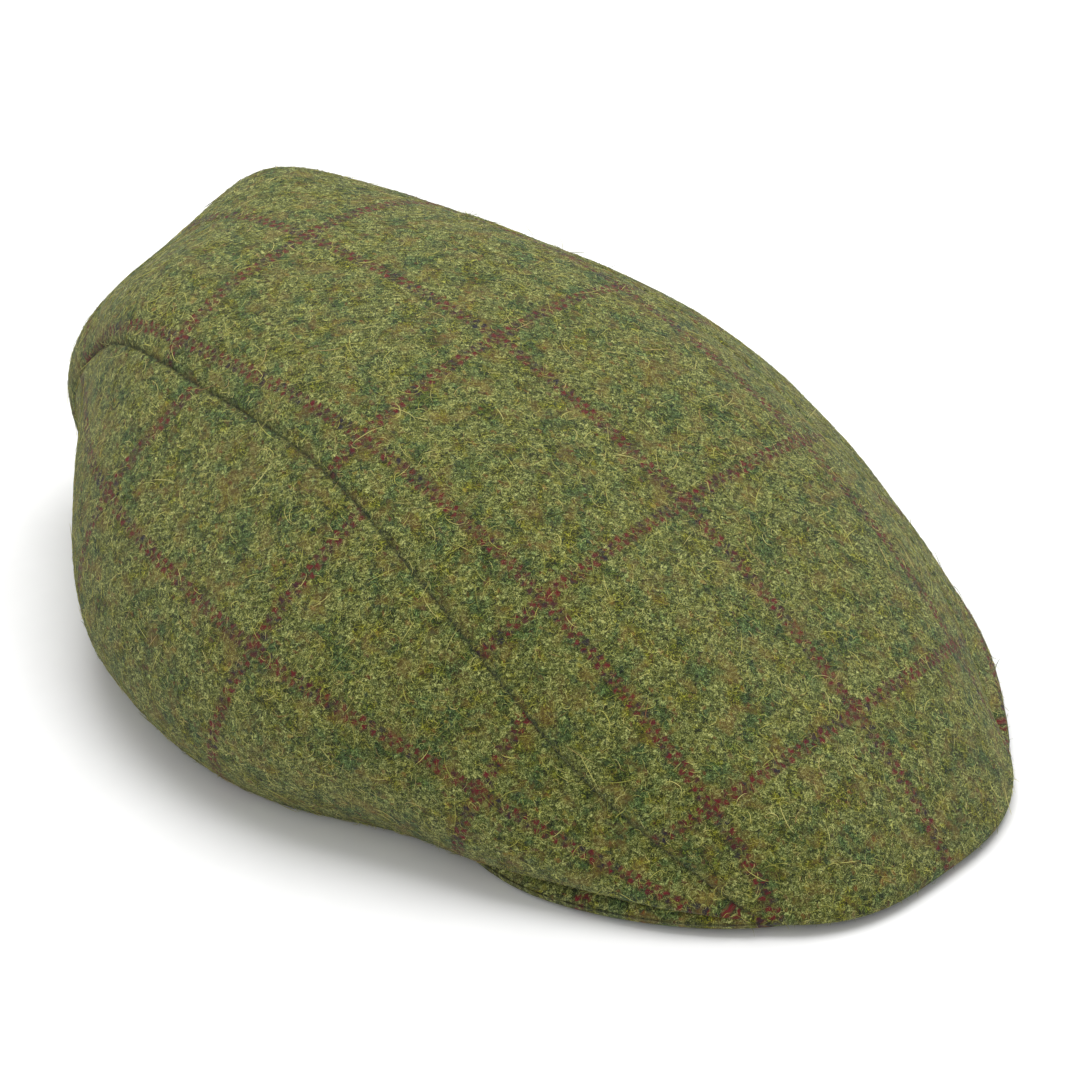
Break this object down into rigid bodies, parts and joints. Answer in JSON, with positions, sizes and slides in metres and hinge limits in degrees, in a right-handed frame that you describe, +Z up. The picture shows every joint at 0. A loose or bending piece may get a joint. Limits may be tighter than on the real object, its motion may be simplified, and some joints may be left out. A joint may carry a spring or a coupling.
{
  "type": "flat cap",
  "caption": "Woollen tweed flat cap with a centre panel running from peak to hem, side panels, lining, sweatband and a flexible covered peak.",
  "frame": {"origin": "centre of the bounding box at its base, which is the plane of the hem, in the middle of the head opening", "axes": "-Y towards the front edge of the peak, +X towards the wearer's left, +Z up through the crown"},
  "size_m": [0.1986, 0.2812, 0.0942],
  "materials": {
    "tweed": "matte woollen twill with a dark red and navy windowpane check",
    "canvas": "plain woven stiffener",
    "tape": "woven tape",
    "lining": "diamond-quilted satin",
    "sweatband": "ribbed cotton band",
    "peak_board": "flexible sheet"
  },
  "bodies": {
    "crown": {"centre_panel": "tweed", "side_panel_left": "tweed", "side_panel_right": "tweed", "front_canvas": "canvas", "seam_tape_left": "tape", "seam_tape_right": "tape", "lining_centre": "lining", "lining_left": "lining", "lining_right": "lining", "sweatband": "sweatband"},
    "peak": {"peak_upper_cover": "tweed", "peak_board": "peak_board", "peak_under_cover": "tweed"}
  },
  "joints": [
    {"name": "peak_flex", "type": "hinge", "parent": "crown", "child": "peak", "pos_m": [0, -0.0425, 0.002], "axis": [1, 0, 0], "range_deg": [0, 6], "stiffness_Nm_per_rad": 1}
  ]
}
